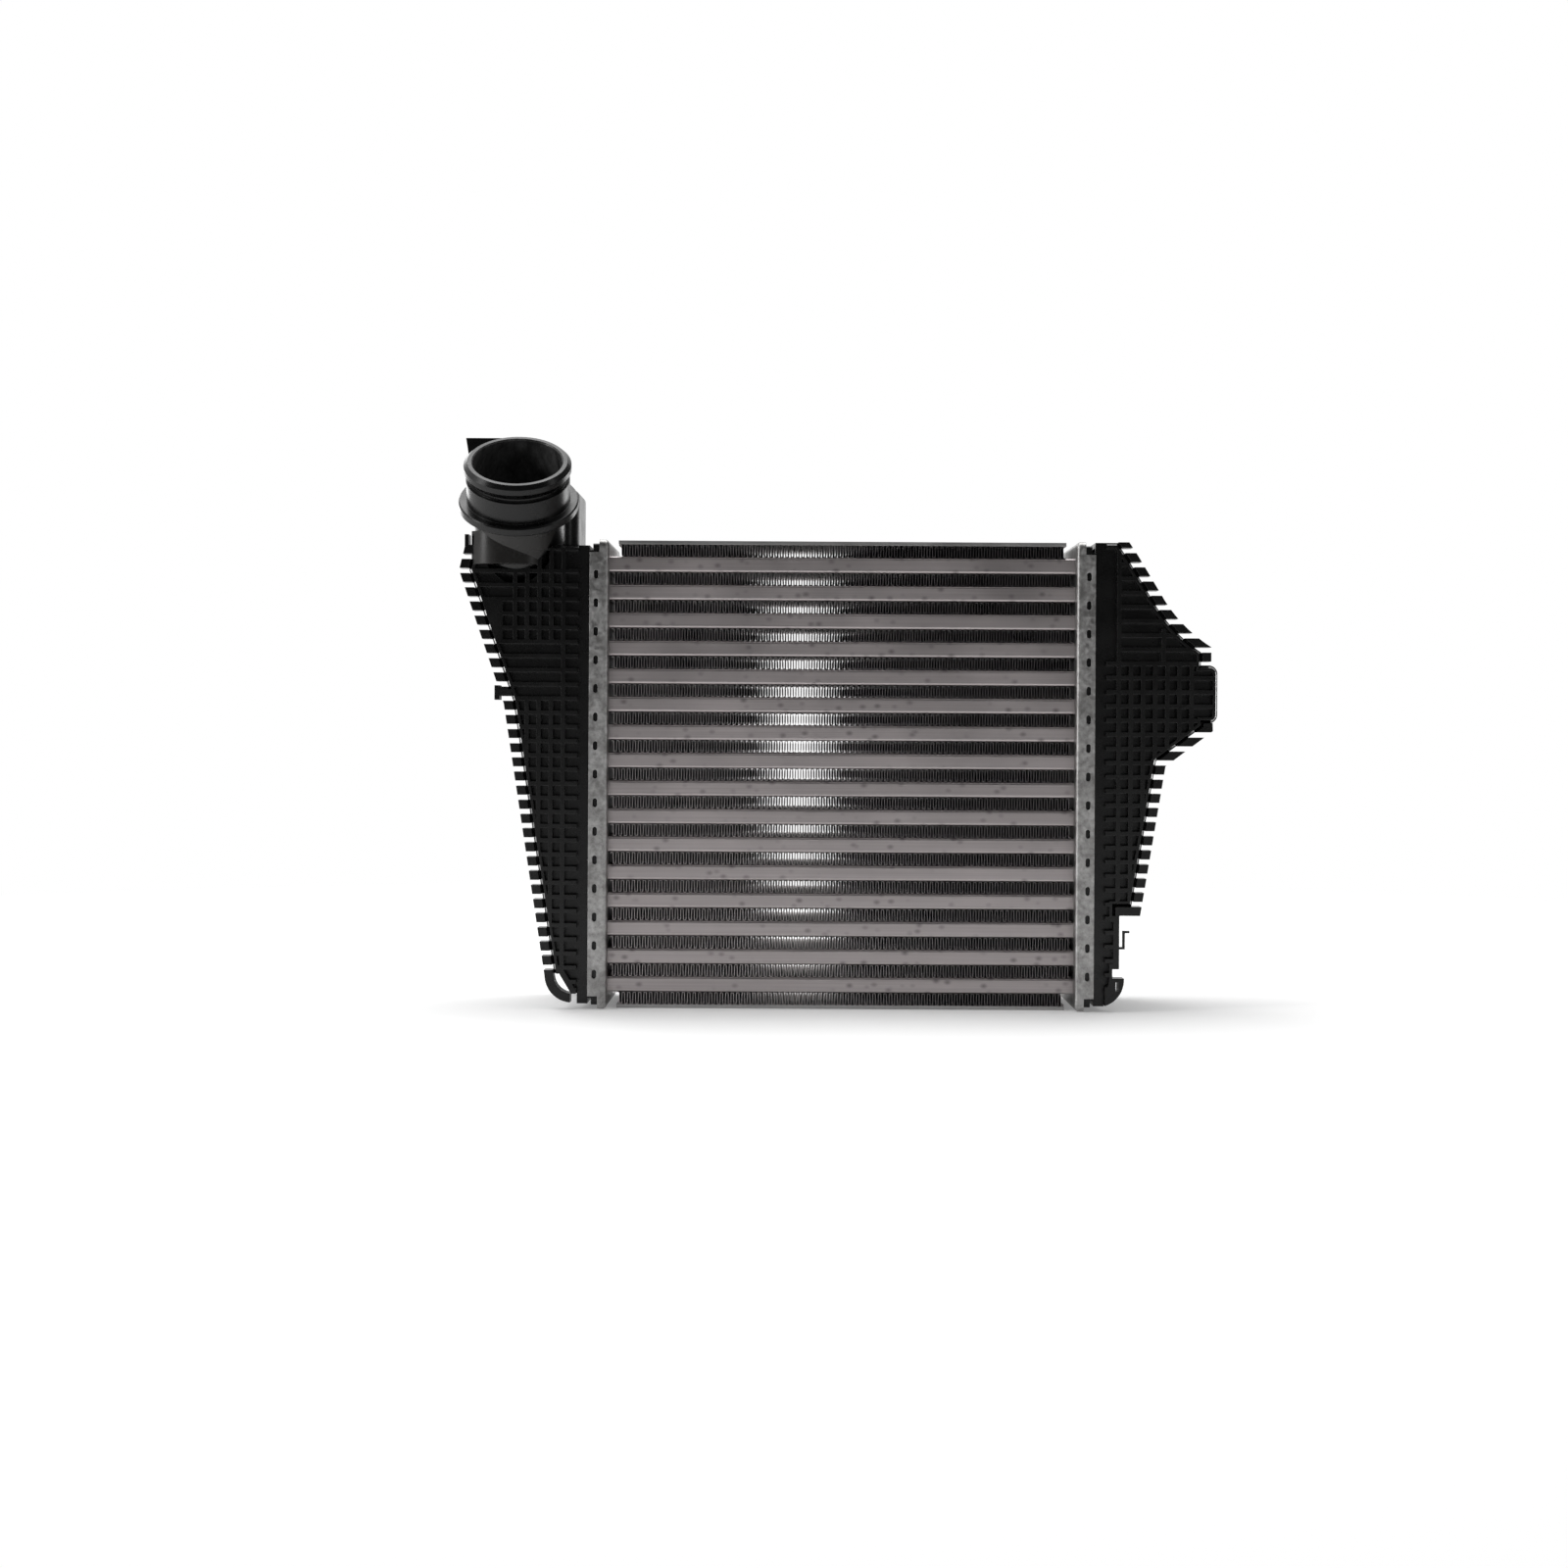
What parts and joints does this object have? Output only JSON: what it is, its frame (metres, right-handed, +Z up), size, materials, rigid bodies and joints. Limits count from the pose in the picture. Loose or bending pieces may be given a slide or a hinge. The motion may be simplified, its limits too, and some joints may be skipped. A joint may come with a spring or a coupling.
{
  "type": "intercooler",
  "caption": "Charge-air cooler with a flat-tube and corrugated-fin aluminium core between two pressed headers, closed by ribbed black plastic end tanks with hose spigots.",
  "frame": {"origin": "middle of the flat underside of the core, on the rest plane", "axes": "+X from the inlet tank to the outlet tank, +Y towards the back where the outlet spigot points, +Z up"},
  "size_m": [0.3539, 0.1318, 0.2684],
  "materials": {
    "tank_plastic": "satin black glass-filled plastic",
    "header_aluminium": "stained after brazing",
    "tube_aluminium": "satin",
    "fin_aluminium": "bright sheet",
    "plate_aluminium": "satin",
    "seal_rubber": "matt"
  },
  "bodies": {
    "root": {"inlet_tank": "tank_plastic", "outlet_tank": "tank_plastic", "inlet_header": "header_aluminium", "outlet_header": "header_aluminium", "charge_tube_01": "tube_aluminium", "charge_tube_02": "tube_aluminium", "charge_tube_03": "tube_aluminium", "charge_tube_04": "tube_aluminium", "charge_tube_05": "tube_aluminium", "charge_tube_06": "tube_aluminium", "charge_tube_07": "tube_aluminium", "charge_tube_08": "tube_aluminium", "charge_tube_09": "tube_aluminium", "charge_tube_10": "tube_aluminium", "charge_tube_11": "tube_aluminium", "charge_tube_12": "tube_aluminium", "charge_tube_13": "tube_aluminium", "charge_tube_14": "tube_aluminium", "charge_tube_15": "tube_aluminium", "charge_tube_16": "tube_aluminium", "cooling_fin_01": "fin_aluminium", "cooling_fin_02": "fin_aluminium", "cooling_fin_03": "fin_aluminium", "cooling_fin_04": "fin_aluminium", "cooling_fin_05": "fin_aluminium", "cooling_fin_06": "fin_aluminium", "cooling_fin_07": "fin_aluminium", "cooling_fin_08": "fin_aluminium", "cooling_fin_09": "fin_aluminium", "cooling_fin_10": "fin_aluminium", "cooling_fin_11": "fin_aluminium", "cooling_fin_12": "fin_aluminium", "cooling_fin_13": "fin_aluminium", "cooling_fin_14": "fin_aluminium", "cooling_fin_15": "fin_aluminium", "cooling_fin_16": "fin_aluminium", "cooling_fin_17": "fin_aluminium", "upper_side_plate": "plate_aluminium", "lower_side_plate": "plate_aluminium", "inlet_gasket": "seal_rubber", "outlet_gasket": "seal_rubber", "turbulator_01": "fin_aluminium", "turbulator_02": "fin_aluminium", "turbulator_03": "fin_aluminium", "turbulator_04": "fin_aluminium", "turbulator_05": "fin_aluminium", "turbulator_06": "fin_aluminium", "turbulator_07": "fin_aluminium", "turbulator_08": "fin_aluminium", "turbulator_09": "fin_aluminium", "turbulator_10": "fin_aluminium", "turbulator_11": "fin_aluminium", "turbulator_12": "fin_aluminium", "turbulator_13": "fin_aluminium", "turbulator_14": "fin_aluminium", "turbulator_15": "fin_aluminium", "turbulator_16": "fin_aluminium"}
  },
  "joints": []
}
